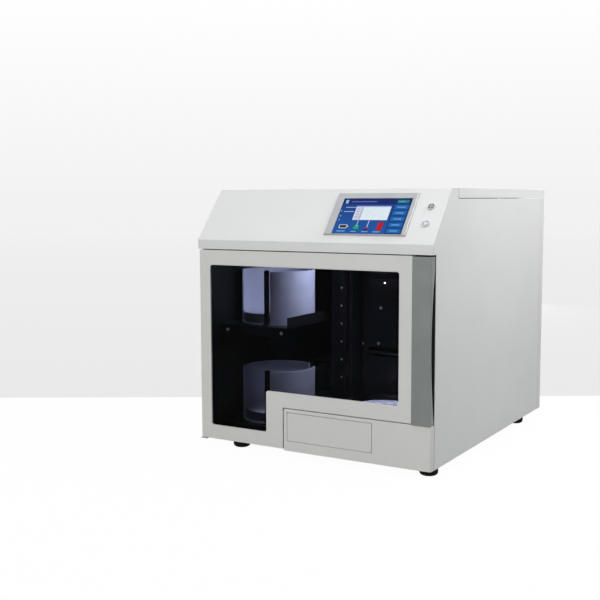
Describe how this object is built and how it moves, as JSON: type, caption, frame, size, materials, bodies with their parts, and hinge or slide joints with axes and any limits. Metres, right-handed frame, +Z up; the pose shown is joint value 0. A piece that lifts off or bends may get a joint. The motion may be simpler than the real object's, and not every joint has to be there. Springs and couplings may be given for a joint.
{
  "type": "disc publisher",
  "caption": "Desktop disc publisher: windowed hinged door, slanted console with touch screen, stackers, swinging picker arm, drives, printer and output drawer.",
  "frame": {"origin": "on the floor, under the middle of the overall box", "axes": "+X to the machine's right as seen from the front, +Y to its back, +Z up"},
  "size_m": [0.42, 0.535, 0.429],
  "materials": {
    "cabinet_paint": "fine satin powder coat, warm light grey",
    "door_plastic": "moulded ABS, light grey",
    "black_steel": "satin black powder coat",
    "zinc_steel": "zinc-plated sheet",
    "rubber": "moulded",
    "bright_steel": "ground and polished",
    "motor_metal": "cast and machined",
    "frosted_plastic": "translucent frosted",
    "disc_plastic": "polycarbonate with a white print face",
    "bezel_silver": "silver-lacquered moulding",
    "screen_glass": "lit panel behind touch glass",
    "smoked_acrylic": "smoked acrylic sheet, polished",
    "handle_grey": "metallic grey moulding",
    "belt_rubber": "toothed",
    "black_plastic": "moulded, fine texture",
    "circuit_board": "solder mask",
    "lamp_white": "diffuser",
    "button_dark": "printed cap",
    "button_ring": "ring with a light centre",
    "cartridge_plastic": "moulded"
  },
  "bodies": {
    "cabinet": {"back_partition": "black_steel", "base_pan": "black_steel", "control_console": "cabinet_paint", "disc_stacks": "disc_plastic", "door_magnets": "bright_steel", "drawer_runners": "zinc_steel", "drive_cage": "zinc_steel", "feet": "rubber", "front_frame": "black_steel", "lamp_bar": "lamp_white", "left_side_panel": "cabinet_paint", "lift_belt": "belt_rubber", "lift_motor": "motor_metal", "lift_rail": "bright_steel", "lower_drive": "zinc_steel", "lower_front_panel": "door_plastic", "lower_stacker": "frosted_plastic", "main_board": "circuit_board", "picker_column": "black_steel", "pivot_pins": "bright_steel", "power_inlet": "black_plastic", "power_supply": "zinc_steel", "print_rod": "bright_steel", "printer_frame": "black_plastic", "rear_fan": "black_plastic", "rear_panel": "cabinet_paint", "right_side_panel": "cabinet_paint", "screen_bezel": "bezel_silver", "screws": "bright_steel", "stacker_posts": "black_steel", "stacker_shelf": "black_steel", "stacker_stool": "black_steel", "touch_screen": "screen_glass", "upper_drive": "zinc_steel", "upper_stacker": "frosted_plastic"},
    "door": {"door_frame": "door_plastic", "door_handle": "handle_grey", "door_window": "smoked_acrylic"},
    "drawer": {"drawer_discs": "disc_plastic", "drawer_front": "door_plastic", "drawer_tray": "black_plastic"},
    "fan_rotor": {"fan_rotor": "black_plastic"},
    "arm": {"gripper_head": "black_plastic", "picker_arm": "black_plastic"},
    "plunger": {"gripper_plunger": "bright_steel"},
    "idler_pulley": {"idler_pulley": "motor_metal"},
    "print_carriage": {"ink_cartridges": "cartridge_plastic", "print_carriage": "black_plastic"},
    "lift": {"lift_carriage": "motor_metal", "swing_motor": "motor_metal"},
    "lower_tray": {"lower_drive_tray": "black_plastic"},
    "lower_eject": {"lower_eject_button": "black_plastic"},
    "menu_button": {"menu_button": "button_ring"},
    "motor_pulley": {"motor_pulley": "motor_metal"},
    "power_button": {"power_button": "button_dark"},
    "rocker": {"power_rocker": "black_plastic"},
    "print_tray": {"printer_tray": "black_plastic"},
    "lid": {"top_cover": "cabinet_paint"},
    "upper_tray": {"upper_drive_tray": "black_plastic"},
    "upper_eject": {"upper_eject_button": "black_plastic"}
  },
  "joints": [
    {"name": "door_hinge", "type": "hinge", "parent": "cabinet", "child": "door", "pos_m": [-0.204, -0.259, 0.17], "axis": [0, 0, -1], "range_deg": [0, 110]},
    {"name": "drawer_slide", "type": "slide", "parent": "cabinet", "child": "drawer", "axis": [0, 1, 0], "range_m": [-0.2, 0]},
    {"name": "lid_hinge", "type": "hinge", "parent": "cabinet", "child": "lid", "pos_m": [0, 0.2645, 0.4135], "axis": [-1, 0, 0], "range_deg": [0, 75]},
    {"name": "power_press", "type": "slide", "parent": "cabinet", "child": "power_button", "axis": [0, 0.7716, -0.6361], "range_m": [0, 0.0012], "stiffness_N_per_m": 400, "springref_m": -0.001},
    {"name": "menu_press", "type": "slide", "parent": "cabinet", "child": "menu_button", "axis": [0, 0.7716, -0.6361], "range_m": [0, 0.0012], "stiffness_N_per_m": 400, "springref_m": -0.001},
    {"name": "picker_lift", "type": "slide", "parent": "cabinet", "child": "lift", "axis": [0, 0, -1], "range_m": [0, 0.27]},
    {"name": "motor_turn", "type": "hinge", "parent": "cabinet", "child": "motor_pulley", "pos_m": [-0.0595, -0.0035, 0.036], "axis": [1, 0, 0], "range_deg": [0, 2050]},
    {"name": "idler_turn", "type": "hinge", "parent": "cabinet", "child": "idler_pulley", "pos_m": [-0.0595, -0.0035, 0.396], "axis": [1, 0, 0], "range_deg": [0, 2050]},
    {"name": "arm_swing", "type": "hinge", "parent": "lift", "child": "arm", "pos_m": [-0.0654, -0.0565, 0.352], "axis": [0, 0, 1], "range_deg": [-130, 5]},
    {"name": "plunger_push", "type": "slide", "parent": "arm", "child": "plunger", "axis": [0, 0, -1], "range_m": [0, 0.003], "stiffness_N_per_m": 200, "springref_m": -0.002},
    {"name": "upper_tray_slide", "type": "slide", "parent": "cabinet", "child": "upper_tray", "axis": [0, 1, 0], "range_m": [-0.14, 0]},
    {"name": "lower_tray_slide", "type": "slide", "parent": "cabinet", "child": "lower_tray", "axis": [0, 1, 0], "range_m": [-0.14, 0]},
    {"name": "upper_eject_press", "type": "slide", "parent": "cabinet", "child": "upper_eject", "axis": [0, 1, 0], "range_m": [0, 0.001], "stiffness_N_per_m": 300, "springref_m": -0.001},
    {"name": "lower_eject_press", "type": "slide", "parent": "cabinet", "child": "lower_eject", "axis": [0, 1, 0], "range_m": [0, 0.001], "stiffness_N_per_m": 300, "springref_m": -0.001},
    {"name": "printer_tray_slide", "type": "slide", "parent": "cabinet", "child": "print_tray", "axis": [0, 1, 0], "range_m": [-0.13, 0]},
    {"name": "print_carriage_slide", "type": "slide", "parent": "cabinet", "child": "print_carriage", "axis": [-1, 0, 0], "range_m": [0, 0.15]},
    {"name": "fan_spin", "type": "hinge", "parent": "cabinet", "child": "fan_rotor", "pos_m": [0.15, 0.2465, 0.072], "axis": [0, 1, 0], "continuous": true},
    {"name": "rocker_tilt", "type": "hinge", "parent": "cabinet", "child": "rocker", "pos_m": [-0.134, 0.2535, 0.06], "axis": [1, 0, 0], "range_deg": [0, 16]}
  ],
  "couplings": [
    {"joint": "motor_turn", "follows": "picker_lift", "rad_per_m": 125},
    {"joint": "idler_turn", "follows": "picker_lift", "rad_per_m": 125}
  ]
}
